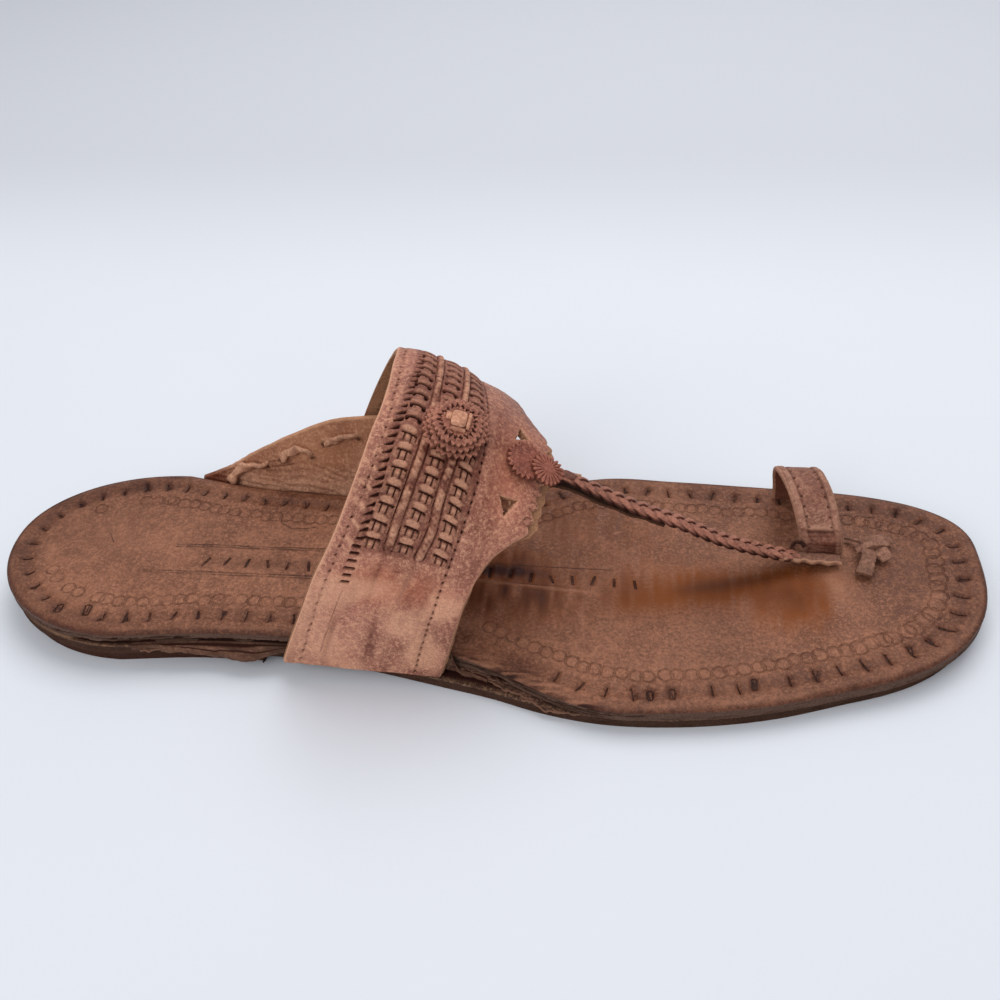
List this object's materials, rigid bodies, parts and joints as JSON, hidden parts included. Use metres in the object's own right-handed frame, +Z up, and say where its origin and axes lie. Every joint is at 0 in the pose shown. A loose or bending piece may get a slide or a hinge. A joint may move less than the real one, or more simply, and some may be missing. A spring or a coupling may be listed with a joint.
{
  "type": "kolhapuri sandal",
  "caption": "Flat leather sandal with a woven instep band, gimped rosettes and a braid running to a toe loop, right foot.",
  "frame": {"origin": "middle of the bounding box, on the floor plane under the heel lift and the forefoot", "axes": "+X from heel to toe, +Y to the big-toe side, +Z up"},
  "size_m": [0.299, 0.0986, 0.0779],
  "materials": {
    "top_leather": "burnished brown leather, satin",
    "edge_leather": "raw layered leather edge, matt",
    "heel_leather": "dark stained leather edge, matt",
    "ear_leather": "tan leather, flesh side, matt",
    "band_leather": "pinkish tan leather, satin",
    "rosette_leather": "reddish brown leather, satin",
    "knob_leather": "light tan leather, satin",
    "braid_leather": "reddish brown leather, satin"
  },
  "bodies": {
    "root": {"top_sole": "top_leather", "filler_layer": "edge_leather", "outsole": "edge_leather", "heel_lift": "heel_leather", "ear_inner": "ear_leather", "ear_outer": "ear_leather", "instep_band": "band_leather", "rosette_lower": "rosette_leather", "rosette_middle": "rosette_leather", "rosette_upper": "rosette_leather", "tip_rosette_rear": "rosette_leather", "tip_rosette_front": "rosette_leather", "rosette_knob": "knob_leather", "braid": "braid_leather", "braid_backing": "braid_leather", "toe_loop": "band_leather", "toe_knot": "braid_leather"}
  },
  "joints": []
}
